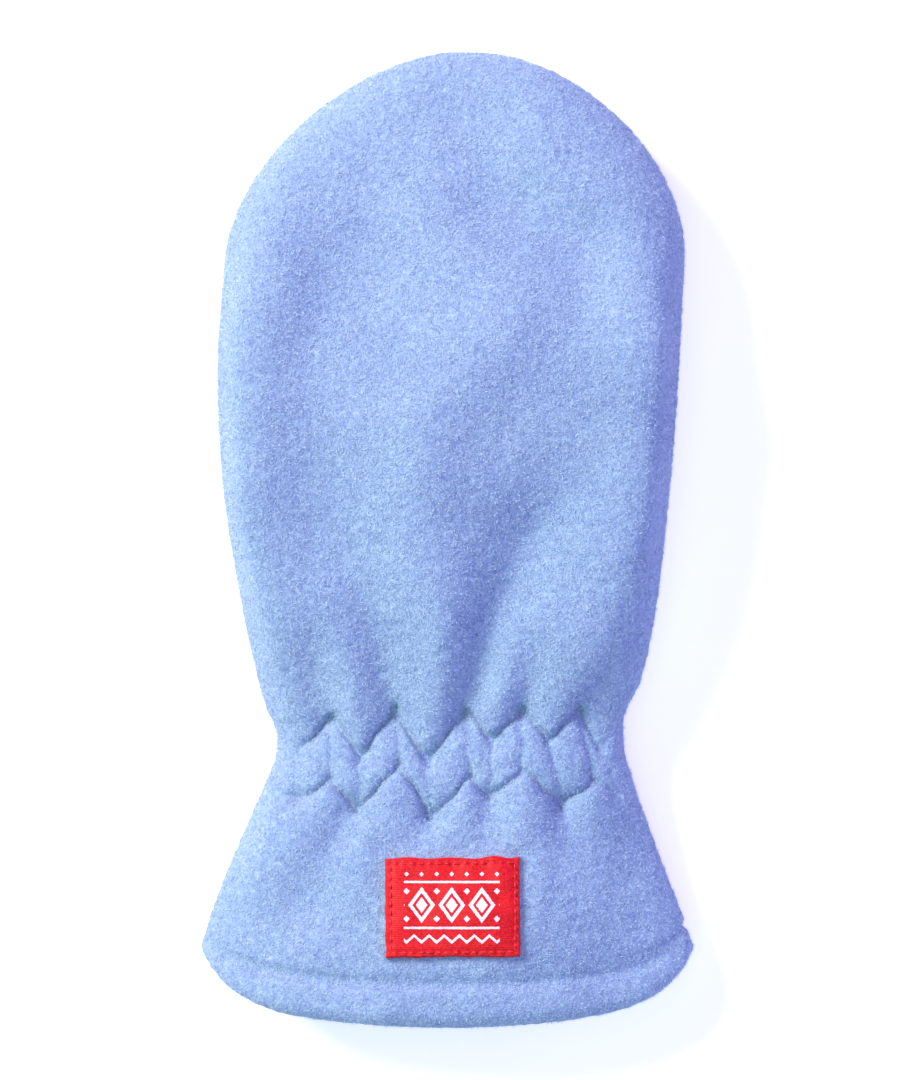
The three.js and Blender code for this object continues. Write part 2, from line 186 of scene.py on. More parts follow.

# %% [markdown]
# ## Folds
#
# Fleece is thick and springy, so it makes few folds, all soft. They start at the gathered
# wrist and fade out over the hand and the cuff. A simulation would put them anywhere, so
# each one is listed as a line through a few points with a width and a height at each: a
# ridge where the height is positive, a valley where it is negative. A bell curve across the
# line makes it soft, and a small height at one end lets it fade out. The label holds the
# cloth under it flat, so folds end beside it. Only one broad swell runs under it.

# %% Fold table
FOLDS = {                     # points of x, y, width and height
    "left rim": [
        (-25.0, 54.0, 3.8, 1.0), (-30.0, 34.0, 5.4, 4.2), (-31.0, 8.0, 5.0, 4.4),
        (-27.5, -8.0, 4.0, 2.4), (-23.7, -26.0, 2.4, 0.8),
    ],
    "valley from the tip to the wrist": [
        (-11.0, 60.0, 5.5, -1.2), (-12.0, 46.0, 5.0, -1.2), (-20.0, 28.0, 4.6, -0.8),
        (-21.0, 14.0, 4.6, 0.0), (-16.0, -2.0, 4.2, -0.9), (-10.0, -17.0, 2.6, -1.2),
        (-8.4, -27.0, 1.7, -0.7),
    ],
    "ridge across the palm": [
        (19.0, 40.0, 5.0, 0.4), (8.0, 32.0, 5.5, 1.6), (-3.5, 17.0, 6.0, 2.4),
        (-4.0, 2.0, 5.0, 1.7), (-1.4, -12.0, 3.6, 2.0), (-1.2, -21.0, 3.0, 1.9), (-3.4, -30.5, 2.4, 0.9),
    ],
    "main valley": [
        (21.0, 14.0, 4.6, -0.2), (12.5, -1.0, 5.0, -3.0), (8.0, -12.0, 3.6, -2.6),
        (4.9, -20.0, 2.6, -1.7), (1.9, -27.0, 1.6, -0.8),
    ],
    "ridge along the right side": [
        (28.0, 48.0, 4.4, 1.0), (31.0, 30.0, 5.4, 4.0), (30.5, 6.0, 4.8, 2.8),
        (26.0, -8.0, 4.4, 1.8), (20.5, -19.0, 3.6, 1.5), (15.6, -29.0, 2.4, 0.8),
    ],
    "hollow at the upper right": [(3.0, 64.0, 6.0, -2.0), (6.0, 52.0, 5.0, -2.0), (22.0, 44.0, 5.0, -2.6)],
    "middle tongue": [(9.5, -14.0, 2.2, 0.3), (8.8, -22.0, 2.2, 0.9), (7.0, -29.0, 2.1, 0.7)],
    "small valley": [(13.0, -17.0, 2.0, -0.5), (11.3, -26.5, 1.6, -0.7)],
    "second left tongue": [(-17.5, -10.0, 2.8, 0.6), (-15.0, -20.0, 2.6, 1.2), (-13.6, -31.0, 2.1, 0.8)],
    "valley by the left seam": [(-21.5, -18.0, 2.2, -0.2), (-18.4, -27.5, 1.8, -0.6)],
    "right valley": [(28.5, -12.0, 2.6, -0.2), (20.8, -26.5, 1.8, -0.7)],
    "dimple near the tip": [(10.4, 54.0, 3.0, -0.7), (11.2, 53.2, 3.0, -0.7)],
    "left side of the cuff": [(-28.0, -40.0, 4.0, 1.0), (-33.0, -50.0, 5.0, 0.8)],
    "first cuff valley": [(-14.6, -42.0, 1.8, -1.4), (-21.0, -55.0, 3.6, -1.2)],
    "second cuff valley": [(-2.8, -43.0, 1.6, -1.1), (-6.4, -52.0, 2.4, -0.2)],
    "third cuff valley": [(6.4, -40.5, 1.5, -0.9), (5.8, -50.0, 2.2, -0.2)],
    "fourth cuff valley": [(17.7, -41.5, 1.7, -1.2), (18.2, -49.0, 2.2, -0.1)],
    "first flute": [(-18.0, -38.5, 2.4, 0.9), (-27.0, -53.0, 3.6, 0.4)],
    "second flute": [(-8.0, -37.0, 2.6, 1.2), (-15.0, -50.0, 3.6, 0.7)],
    "third flute": [(3.0, -38.5, 2.2, 0.9), (0.0, -50.0, 3.0, 0.3)],
    "fourth flute": [(11.3, -37.5, 2.3, 0.9), (12.6, -57.0, 3.6, 0.4)],
    "fifth flute": [(22.6, -39.0, 2.0, 0.9), (23.6, -47.0, 2.4, 0.1)],
}
FOLD_SPREAD = 1.35            # a fold's slopes reach a little past its half-width
CUFF_SWELL = {                # the right half of the cuff is fuller, and falls off to the right
    "x": 14.0, "y": -56.0, "left": 26.0, "right": 11.0, "along": 11.0, "height": 1.4,
}
print(len(FOLDS), "folds")

# %% Place of the label
LABEL = {"x": 0.5, "y": -56.5, "width": 20.2, "height": 15.1, "thick": 0.8, "lift": 0.35, "turn": 0.006}
LABEL_MARGIN = 3.5            # folds fade out over this distance beside the label


def outside_label(x, y):
    """How far a place lies outside the label's edges, less than 0 where it is under the label."""
    out_x = np.abs(x - LABEL["x"]) - LABEL["width"] / 2
    out_y = np.abs(y - LABEL["y"]) - LABEL["height"] / 2
    return np.maximum(out_x, out_y)


# %% Height of all folds
def to_line(x, y, x1, y1, x2, y2):
    """Distance from x, y to a straight line between two points, and how far along it lies."""
    dx, dy = x2 - x1, y2 - y1
    t = np.clip(((x - x1) * dx + (y - y1) * dy) / (dx * dx + dy * dy), 0.0, 1.0)
    return np.hypot(x - x1 - t * dx, y - y1 - t * dy), t


def fold_height(x, y):
    total = np.zeros_like(x)
    for points in FOLDS.values():
        nearest = np.full_like(x, 1000.0)
        height = np.zeros_like(x)
        for (x1, y1, width1, rise1), (x2, y2, width2, rise2) in zip(points[:-1], points[1:]):
            distance, t = to_line(x, y, x1, y1, x2, y2)
            width = FOLD_SPREAD * (width1 + t * (width2 - width1))
            here = (rise1 + t * (rise2 - rise1)) * bump(distance, width)
            height = np.where(distance < nearest, here, height)
            nearest = np.minimum(distance, nearest)
        total += height
    off = x - CUFF_SWELL["x"]
    swell = bump(off, np.where(off > 0, CUFF_SWELL["right"], CUFF_SWELL["left"]))
    swell *= CUFF_SWELL["height"] * bump(y - CUFF_SWELL["y"], CUFF_SWELL["along"])
    return total * smoothstep(outside_label(x, y), 0.0, LABEL_MARGIN) + swell


# %% [markdown]
# ## Uneven cloth
#
# No brushed cloth is perfectly smooth. A sum of waves in random directions, all of about one
# length, gives soft unevenness at any scale. It needs no texture and is the same in each run,
# because its seed is fixed.

# %% Random waves
def random_waves(points, wavelength, seed, count=20):
    """Smooth unevenness around 0, about 1 high, with features of one size."""
    rng = np.random.default_rng(seed)
    directions = rng.normal(size=(count, 3))
    directions /= np.linalg.norm(directions, axis=1, keepdims=True)
    lengths = wavelength * rng.uniform(0.75, 1.35, count)
    phases = rng.uniform(0, 2 * np.pi, count)
    total = np.zeros(points.shape[:-1])
    for direction, length, phase in zip(directions, lengths, phases):
        total += np.cos(points @ direction * (2 * np.pi / length) + phase)
    return total * np.sqrt(2 / count)


def mixed_waves(points, table):
    """Sum of random waves, where each row of a table is a wavelength, a height and a seed."""
    return sum(height * random_waves(points, wavelength, seed) for wavelength, height, seed in table)


# %% [markdown]
# ## The gathered wrist
#
# Two rows of zigzag stitches hold stretched elastic inside the wrist. When it springs back,
# the stitches sink into the nap and the fleece between the rows swells into slanted puffs.
# A sculpt or a bump texture could draw this, but the puffs show in the outline of each
# shadow, so they are real relief: a narrow groove on each stitch line, a wider pull around
# it, and a pillow between the rows, creased from each corner of one row to the nearest one
# of the other. The corners are rounded and the lines wander a little, as in brushed cloth.

# %% Stitch rows
UPPER_ROW = np.array([
    (-26.6, -30.0), (-23.7, -32.7), (-18.1, -27.9), (-13.6, -33.0), (-8.1, -27.0), (-3.2, -33.9),
    (2.5, -26.7), (6.9, -30.8), (11.3, -26.5), (15.3, -31.0), (20.1, -26.5), (23.7, -32.2), (27.0, -28.1),
])
LOWER_ROW = np.array([
    (-28.8, -37.5), (-23.4, -40.4), (-18.0, -37.0), (-13.8, -41.5), (-7.7, -34.9), (-2.7, -42.7),
    (3.2, -36.7), (6.4, -39.5), (11.3, -35.7), (17.7, -40.9), (22.6, -37.3), (26.0, -39.4), (29.0, -38.0),
])
STITCH_LINES = [(row[k], row[k + 1]) for row in (UPPER_ROW, LOWER_ROW) for k in range(len(row) - 1)]
CREASE_LINES = [(UPPER_ROW[k], LOWER_ROW[k]) for k in range(1, len(UPPER_ROW) - 1)]
print(len(STITCH_LINES), "stitch lines and", len(CREASE_LINES), "creases")

# %% Puffs, grooves and creases
THREAD_DEPTH = 0.7            # the narrow slit that the thread itself pulls
THREAD_WIDTH = 0.4
STITCH_DEPTH = 0.8
STITCH_WIDTH = 1.0            # the cloth rises from a stitch over about this distance
CREASE_DEPTH = 0.6
CREASE_WIDTH = 0.8
ROUNDING = 0.45               # a puff turns round a corner of the stitches this softly
PUFF_HEIGHT = 0.5
PUFF_WIDTH = 2.2
PUFF_RISE = 1.2               # a puff rises from its stitch row over this distance
WANDER = 0.15                 # no crease in brushed cloth runs quite straight
WANDER_LENGTH = 4.5
WRIST_BOTTOM = -48.0
WRIST_TOP = -20.0
WRIST_END = 3.0               # the relief fades out over this distance at both ends


def soft_nearest(distances):
    """The smallest of several distances, rounded off where two are alike."""
    return np.maximum(0, -ROUNDING * np.log(sum(np.exp(-distance / ROUNDING) for distance in distances)))


def wrist_relief(x, y):
    places = np.stack([x, y, np.zeros_like(x)], axis=-1)
    x = x + WANDER * random_waves(places, WANDER_LENGTH, 31)
    y = y + WANDER * random_waves(places, WANDER_LENGTH, 32)
    above = np.interp(x, *UPPER_ROW.T) - y
    below = y - np.interp(x, *LOWER_ROW.T)
    between = smoothstep(above, 0.0, PUFF_RISE) * smoothstep(below, 0.0, PUFF_RISE)
    to_stitches = [to_line(x, y, *start, *end)[0] for start, end in STITCH_LINES]
    to_creases = [to_line(x, y, *start, *end)[0] for start, end in CREASE_LINES]
    pillow = between
    for distance in to_stitches:
        pillow = pillow * (1 - bump(distance, PUFF_WIDTH))
    from_stitch = soft_nearest(to_stitches)
    groove = STITCH_DEPTH * np.exp(-from_stitch / STITCH_WIDTH)
    groove += THREAD_DEPTH * bump(from_stitch, THREAD_WIDTH)
    crease = CREASE_DEPTH * np.exp(-soft_nearest(to_creases) / CREASE_WIDTH) * between
    from_bottom = smoothstep(y, WRIST_BOTTOM, WRIST_BOTTOM + WRIST_END)
    from_top = smoothstep(-y, -WRIST_TOP, WRIST_END - WRIST_TOP)
    return (PUFF_HEIGHT * pillow - groove - crease) * (from_bottom * from_top)


# %% [markdown]
# ## From sections to a wall
#
# Each panel is a thin wall with an outer and an inner face. The outer face needs points
# every half millimetre for its folds and nap, the inner one far fewer, so every third point
# is enough there, and a rim joins the two borders. Near the wrist the rows of the grid bend
# along the zigzag stitches, which keeps the grooves crisp without more points.

# %% Rows and columns of a panel's grid
EDGE_ROWS = 6                 # round the folded edge of the hem
ROW_BANDS = [(-58.0, 24), (-44.5, 42), (-22.0, 57), (TIP_START_Y, 138)]     # up to a height, rows
TIP_ROWS = 81
FRONT_COLUMNS = 192
BACK_COLUMNS = 150
INNER_STEP = 3
CROWDING = 0.65               # 0 would space the columns evenly


def row_heights():
    """Side height of each grid row, and how far round the hem's edge it lies."""
    steps = np.linspace(1, 0, EDGE_ROWS, endpoint=False)
    heights = [np.full(EDGE_ROWS, HEM_SIDE_Y), [HEM_SIDE_Y]]
    start = HEM_SIDE_Y
    for end, rows in ROW_BANDS:
        heights.append(np.linspace(start, end, rows + 1)[1:])
        start = end
    angles = np.linspace(0, np.pi / 2, TIP_ROWS + 1)[1:]
    heights.append(TIP_START_Y + TIP_LENGTH * np.sin(angles))
    heights = np.concatenate(heights)
    return heights, np.concatenate([steps, np.zeros(len(heights) - EDGE_ROWS)])


def across(columns):
    """Columns lie closer together at the seams, where the section turns."""
    t = np.linspace(-1, 1, columns + 1)
    return t + CROWDING * (np.sin(t * np.pi / 2) - t)


print(len(row_heights()[0]), "rows to a panel")

# %% Rows along the stitches
UPPER_MEAN = -30.0
LOWER_MEAN = -38.7
BEND_REACH = 8.5              # rows this far above and below the stitches run straight again
BEND_FADE = 0.9
BEND_STEPS = 6


def along_stitches(side, u, side_y):
    """Side heights bent so that grid rows follow the two stitch rows."""
    bent = side_y
    for _ in range(BEND_STEPS):
        x = FACING[side] * plain_points(side, u, bent, 0.0)[..., 0]
        upper = np.interp(x, *UPPER_ROW.T) - UPPER_MEAN
        lower = np.interp(x, *LOWER_ROW.T) - LOWER_MEAN
        part = np.clip((side_y - LOWER_MEAN) / (UPPER_MEAN - LOWER_MEAN), 0, 1)
        shift = lower + part * (upper - lower)
        shift *= 1 - smoothstep(side_y, UPPER_MEAN, UPPER_MEAN + BEND_REACH)
        shift *= smoothstep(side_y, LOWER_MEAN - BEND_REACH, LOWER_MEAN)
        bent = side_y + shift * off_seam(u, BEND_FADE)
    return bent


# %% [markdown]
# ## Relief of a panel
#
# The relief is a height out of the plain form at each grid point. The front has all of it.
# The back lies on the table, so it has the gathers only where the elastic lifts it off. At
# the side seam both panels tuck in a little, as sewn cloth does.

# %% Hem
HEM_STITCH_SIDE_Y = -60.4     # height of the hem's stitching at the side seams
HEM_STITCH_DEPTH = 0.6
HEM_STITCH_WIDTH = 1.1
HEM_ROLL = 0.3                # the double layer below the stitching swells a little
HEM_ROLL_BELOW = 3.4
HEM_ROLL_WIDTH = 2.4


def hem_relief(side, u, side_y, plain):
    stitch_y = plain_points(side, u, np.full_like(side_y, HEM_STITCH_SIDE_Y), 0.0)[..., 1]
    below = stitch_y - plain[..., 1]
    roll = HEM_ROLL * bump(below - HEM_ROLL_BELOW, HEM_ROLL_WIDTH)
    return roll - HEM_STITCH_DEPTH * bump(below, HEM_STITCH_WIDTH)


# %% Folds and small relief
SEAM_FADE = 0.84              # folds fade out from here to the seam
WRIST_FADE = (0.76, 0.97)     # the stitch rows sink in less beside the seams
FULL_LIFT = 1.8               # the back is fully gathered where it is lifted this far
UNEVEN_CLOTH = ((16.0, 0.12, 3), (6.0, 0.03, 4))
NAP_LUMPS = ((2.6, 0.02, 11), (1.4, 0.03, 12))


def large_relief(side, u, plain):
    if side == "back":
        return np.zeros_like(u)
    return fold_height(plain[..., 0], plain[..., 1]) * off_seam(u, SEAM_FADE)


def small_relief(side, u, side_y, plain):
    relief = wrist_relief(FACING[side] * plain[..., 0], plain[..., 1]) * off_seam(u, *WRIST_FADE)
    if side == "back":
        return relief * np.clip(section_value("under", side_y) / FULL_LIFT, 0, 1)
    relief += hem_relief(side, u, side_y, plain) * off_seam(u, SEAM_FADE)
    return relief + mixed_waves(plain, UNEVEN_CLOTH) * off_seam(u, SEAM_FADE)


# %% Wall and whole relief
HEM_WALL_END = (HEM_STITCH_SIDE_Y - 0.3, HEM_STITCH_SIDE_Y + 0.9)
ELASTIC_BOTTOM = (-46, -42)   # the wall thickens between the first two heights
ELASTIC_TOP = (-26, -22)      # and thins between these
THINNEST = 1.1                # no groove leaves less cloth than this
TUCK_DEPTH = 0.7
TUCK_WIDTH = 1.2


def wall_thickness(side_y):
    hem = 1 - smoothstep(side_y, *HEM_WALL_END)
    wrist = smoothstep(side_y, *ELASTIC_BOTTOM) * (1 - smoothstep(side_y, *ELASTIC_TOP))
    return WALL + (HEM_WALL - WALL) * hem + (WRIST_WALL - WALL) * wrist


def outer_relief(side, u, side_y, plain):
    large = large_relief(side, u, plain)
    lowest = large * INSIDE_FOLLOWS - wall_thickness(side_y) + THINNEST
    relief = np.maximum(large + small_relief(side, u, side_y, plain), lowest)
    return relief - TUCK_DEPTH * bump(plain[..., 2] - section_value("seam", side_y), TUCK_WIDTH)


# %% Normals
def unit(vectors):
    return vectors / np.maximum(np.linalg.norm(vectors, axis=-1, keepdims=True), 1e-9)


def grid_normals(points, facing):
    """Normals of a grid, turned over where facing is -1. A row closed to a point aims along +Y."""
    normals = unit(facing * np.cross(np.gradient(points, axis=1), np.gradient(points, axis=0)))
    if np.ptp(points[-1], axis=0).max() < 1e-6:
        normals[-1] = (0.0, 1.0, 0.0)
    return normals


# %% Outer and inner grids of a panel
HEM_EDGE_RADIUS = 2.2
HEM_EDGE_TURN = 1.3           # the edge turns this far, in radians


def panel_grids(side, columns):
    heights, edge = row_heights()
    u, side_y = np.meshgrid(across(columns), heights)
    turn = edge[:, None] * HEM_EDGE_TURN
    side_y = along_stitches(side, u, side_y)
    fold_in = HEM_EDGE_RADIUS * (1 - np.cos(turn)) + 0 * u
    drop = np.stack([0 * u, HEM_EDGE_RADIUS * np.sin(turn) + 0 * u, 0 * u], axis=-1)
    plain = plain_points(side, u, side_y, fold_in) - drop
    inside = plain_points(side, u, side_y, wall_thickness(side_y) - fold_in) - drop
    out = grid_normals(plain, FACING[side])
    outer_move = outer_relief(side, u, side_y, plain) * (1 - edge[:, None]) + mixed_waves(plain, NAP_LUMPS)
    inner_move = large_relief(side, u, plain) * INSIDE_FOLLOWS
    outer = plain + out * outer_move[..., None]
    inner = inside + out * inner_move[..., None]
    outer[-1] = outer[-1].mean(axis=0)
    inner[-1] = inner[-1].mean(axis=0)
    outer[..., 2] = np.maximum(outer[..., 2], 0.0)
    return outer, inner[::INNER_STEP, ::INNER_STEP]


# %% Faces of a grid and of a rim
def grid_quads(index):
    return np.stack([index[:-1, :-1], index[:-1, 1:], index[1:, 1:], index[1:, :-1]], axis=-1).reshape(-1, 4)


def border(index):
    return np.concatenate([index[0], index[1:, -1], index[-1, -2::-1], index[-2:0:-1, 0]])


def rim_triangles(outer_loop, inner_loop):
    """Joins two loops where the outer one has a whole number of points for each inner one."""
    ratio = len(outer_loop) // len(inner_loop)
    half = (ratio + 1) // 2
    here, following = inner_loop, np.roll(inner_loop, -1)
    outer = [np.roll(outer_loop, -m)[::ratio] for m in range(ratio + 1)]
    faces = []
    for m in range(ratio):
        faces.append(np.stack([outer[m + 1], outer[m], here if m < half else following], axis=1))
    faces.append(np.stack([outer[half], here, following], axis=1))
    return np.concatenate(faces)


# %% One mesh from points and faces
def mesh_piece(name, points, faces):
    """A smooth mesh object from points in mm and a list of face arrays, quads and triangles."""
    whole = []
    for array in faces:
        if array.shape[1] == 4:
            folded = array[:, 2] == array[:, 3]
            whole += [array[~folded], array[folded][:, :3]]
        else:
            whole.append(array)
    proper = []
    for array in whole:
        repeated = np.any(array == np.roll(array, 1, axis=1), axis=1)
        proper.append(array[~repeated])
    sizes = np.concatenate([np.full(len(array), array.shape[1]) for array in proper])
    used, corners = np.unique(np.concatenate([array.ravel() for array in proper]), return_inverse=True)
    mesh = bpy.data.meshes.new(name)
    mesh.vertices.add(len(used))
    mesh.vertices.foreach_set("co", (points[used] * MM).astype(np.float32).ravel())
    mesh.loops.add(len(corners))
    mesh.loops.foreach_set("vertex_index", corners.astype(np.int32))
    mesh.polygons.add(len(sizes))
    mesh.polygons.foreach_set("loop_start", (np.cumsum(sizes) - sizes).astype(np.int32))
    mesh.update(calc_edges=True)
    mesh.shade_smooth()
    piece = bpy.data.objects.new(name, mesh)
    bpy.context.collection.objects.link(piece)
    print(name, len(used), "points,", int((sizes - 2).sum()), "triangles")
    return piece


# %% Closed walls
def closed_wall(name, outer, inner, pole=False, faces_down=False):
    """One closed mesh from an outer and an inner grid; a pole's last row is one point."""
    outer_index = np.arange(outer.shape[0] * outer.shape[1]).reshape(outer.shape[:2])
    inner_index = outer_index.size + np.arange(inner.shape[0] * inner.shape[1]).reshape(inner.shape[:2])
    if pole:
        outer_index[-1] = outer_index[-1, 0]
        inner_index[-1] = inner_index[-1, 0]
    rim = rim_triangles(border(outer_index), border(inner_index))
    faces = [grid_quads(outer_index), grid_quads(inner_index[:, ::-1]), rim]
    if faces_down:
        faces = [np.roll(array[:, ::-1], 2, axis=1) if array.shape[1] == 4 else array[:, ::-1]
                 for array in faces]
    return mesh_piece(name, np.concatenate([outer.reshape(-1, 3), inner.reshape(-1, 3)]), faces)


# %% The two panels
front_outer, front_inner = panel_grids("front", FRONT_COLUMNS)
back_outer, back_inner = panel_grids("back", BACK_COLUMNS)
front_fleece = closed_wall("front_fleece", front_outer, front_inner, pole=True)
back_fleece = closed_wall("back_fleece", back_outer, back_inner, pole=True, faces_down=True)

# %% [markdown]
# ## Nap
#
# Polar fleece is a knit whose loops were cut and brushed up, then shorn and tumbled, so its
# face is a mat of short curly fibres that lean every way. Hair particles could grow them, but
# the mesh has to hold them for the export. Each strand is a narrow leaf, bent at its widest
# place, that stands for a few fibres: real ones, 0.02 mm thick, would not show. The strands
# lean far over, so that they take the light as the cloth under them does.

# %% A field of strands
STRAND_LENGTH = (0.35, 0.8)
STRAND_WIDTH = 0.09
ABOVE_TABLE = 0.03            # no strand goes down into the table
STRAND_LEAN = (45.0, 85.0)    # degrees from upright
TUFT_SIZE = 3.0
TUFT_SPREAD = 1.6             # how much the directions in a tuft differ
CURL = 0.45
DROOP = 0.3                   # tips lie down a little more than roots
TWIST = 0.25


def blend_in_cell(grid, i, j, s, t):
    low = grid[i, j] * (1 - s) + grid[i, j + 1] * s
    high = grid[i + 1, j] * (1 - s) + grid[i + 1, j + 1] * s
    return low * (1 - t) + high * t


def strands(name, grid, out, count, seed, keep=None):
    """Strands rooted evenly over a grid whose normals are out."""
    rng = np.random.default_rng(seed)
    diagonals = np.cross(grid[1:, 1:] - grid[:-1, :-1], grid[1:, :-1] - grid[:-1, 1:])
    areas = np.linalg.norm(diagonals, axis=-1)
    cells = rng.choice(areas.size, count, p=areas.ravel() / areas.sum())
    i, j = np.divmod(cells, areas.shape[1])
    s, t = rng.random((2, count, 1))
    root = blend_in_cell(grid, i, j, s, t)
    normal = unit(blend_in_cell(out, i, j, s, t))
    if keep is not None:
        kept = keep(root)
        root, normal = root[kept], normal[kept]
        count = len(root)
    first = unit(np.cross(normal, [0.31, 0.95, 0.02]))
    second = np.cross(normal, first)
    angle = random_waves(root, TUFT_SIZE, seed + 1)[:, None] + rng.normal(0, TUFT_SPREAD, (count, 1))
    lean = np.radians(rng.uniform(*STRAND_LEAN, (count, 1)))
    direction = (first * np.cos(angle) + second * np.sin(angle)) * np.sin(lean) + normal * np.cos(lean)
    length = rng.uniform(*STRAND_LENGTH, (count, 1))
    middle = root + direction * length / 2
    curl = unit(direction + rng.normal(0, CURL, (count, 3)) - DROOP * normal)
    tip = middle + curl * length / 2
    side = unit(np.cross(normal, direction) + rng.normal(0, TWIST, (count, 3))) * STRAND_WIDTH / 2
    points = np.stack([root, middle + side, tip, middle - side], axis=1)
    points[..., 2] = np.maximum(points[..., 2], ABOVE_TABLE)
    return mesh_piece(name, points.reshape(-1, 3), [np.arange(4 * count).reshape(-1, 4)])


# %% Nap outside
FRONT_STRANDS = 99000         # in each half of the front, cuff and hand
BACK_STRANDS = 90000
NAP_MIDDLE_ROW = 200
NAP_LABEL_GAP = 0.2


def off_label(root):
    return outside_label(root[:, 0], root[:, 1]) > NAP_LABEL_GAP


front_out = grid_normals(front_outer, FACING["front"])
back_out = grid_normals(back_outer, FACING["back"])
front_nap = [
    strands("front_nap_cuff", front_outer[:NAP_MIDDLE_ROW + 1], front_out[:NAP_MIDDLE_ROW + 1],
            FRONT_STRANDS, 21, off_label),
    strands("front_nap_hand", front_outer[NAP_MIDDLE_ROW:], front_out[NAP_MIDDLE_ROW:], FRONT_STRANDS, 22),
]
back_nap = strands("back_nap", back_outer, back_out, BACK_STRANDS, 23)

# %% Nap inside the mouth of the cuff
MOUTH_ROWS = 30
MOUTH_STRANDS = 12000
front_mouth, back_mouth = front_inner[:MOUTH_ROWS], back_inner[:MOUTH_ROWS]
inside_nap = [
    strands("front_nap_inside", front_mouth, grid_normals(front_mouth, -1), MOUTH_STRANDS, 24),
    strands("back_nap_inside", back_mouth, grid_normals(back_mouth, 1), MOUTH_STRANDS, 25),
]

# %% [markdown]
# ## Places on the panels
#
# Thread and label have to lie exactly on the cloth. The cloth is a formula, so a place seen
# from above can be turned into panel coordinates: the dip of the cuff is undone step by step,
# and then the same functions that made the panel give the point and its normal.

# %% From a place on the table to a point of a panel
PLACE_STEPS = 60
PLACE_SHARE = 0.45            # each step takes this share of what is still missing


def panel_place(x, y):
    side_y = np.array(y, dtype=float)
    for _ in range(PLACE_STEPS):
        left, right = section_value("left", side_y), section_value("right", side_y)
        u = np.clip((2 * x - left - right) / (right - left), -1.0, 1.0)
        side_y = side_y + PLACE_SHARE * (y + dip_at(u, side_y) - side_y)
    return u, side_y


def panel_surface(side, x, y):
    """Points of a panel's outer face above or below places x, y, and the normals there."""
    u, side_y = panel_place(x, y)
    step = 0.01
    du = plain_points(side, u + step, side_y, 0.0) - plain_points(side, u - step, side_y, 0.0)
    dy = plain_points(side, u, side_y + step, 0.0) - plain_points(side, u, side_y - step, 0.0)
    out = unit(np.cross(du, dy)) * FACING[side]
    plain = plain_points(side, u, side_y, 0.0)
    return plain + out * outer_relief(side, u, side_y, plain)[..., None], out


# %% [markdown]
# ## Thread
#
# The sewing thread is spun polyester in the colour of the cloth, about 0.4 mm thick. It sinks
# so far into the nap that it hardly shows from above, but close up the stitches give the
# grooves a reason. Each stitch is a small grain-shaped tube from one needle hole to the next,
# arched a little, and all stitches of a panel are one mesh.

# %% Stitches along a line
RING_POINTS = 8
STITCH_RINGS = 7
STITCH_ARCH = 0.35            # share of the thickness that the middle stands up
STITCH_TAPER = 0.35           # 0 would leave the ends as thick as the middle
STITCH_END = 0.02             # keeps the ends open by a hair
THREAD_ABOVE_TABLE = 0.02


def stitches(name, side, starts, ends, thickness, lift):
    """Stitches between pairs of places on a panel's outer face."""
    along = np.linspace(0, 1, STITCH_RINGS)[None, :, None]
    start, out_start = panel_surface(side, starts[:, 0], starts[:, 1])
    end, out_end = panel_surface(side, ends[:, 0], ends[:, 1])
    out = unit(out_start + out_end)[:, None]
    arch = np.sin(np.pi * along)
    rise = lift + STITCH_ARCH * thickness * arch
    centre = start[:, None] * (1 - along) + end[:, None] * along + out * rise
    forward = unit(end - start)[:, None]
    sideways = unit(np.cross(forward, out))
    radius = thickness / 2 * np.clip(arch, STITCH_END, 1) ** STITCH_TAPER
    turn = np.linspace(0, 2 * np.pi, RING_POINTS, endpoint=False)
    ring = sideways[:, :, None] * np.cos(turn)[:, None] + out[:, :, None] * np.sin(turn)[:, None]
    points = centre[:, :, None] + ring * radius[:, :, None]
    points[..., 2] = np.maximum(points[..., 2], THREAD_ABOVE_TABLE)
    index = np.arange(points.shape[0] * STITCH_RINGS * RING_POINTS).reshape(-1, STITCH_RINGS, RING_POINTS)
    around = np.roll(index, -1, axis=2)
    quads = np.stack([index[:, :-1], around[:, :-1], around[:, 1:], index[:, 1:]], axis=-1).reshape(-1, 4)
    return mesh_piece(name, points.reshape(-1, 3), [quads])


def split_line(corners, stitch_length, gap=0.12):
    """Stitches of about one length along a line, with needle holes that take the gap's share."""
    starts, ends = [], []
    for first, second in zip(corners[:-1], corners[1:]):
        count = max(1, round(float(np.hypot(*(second - first))) / stitch_length))
        marks = np.linspace(0, 1, count + 1)[:, None]
        places = first * (1 - marks) + second * marks
        starts.append(places[:-1] + gap * (places[1:] - places[:-1]))
        ends.append(places[1:] - gap * (places[1:] - places[:-1]))
    return np.concatenate(starts), np.concatenate(ends)


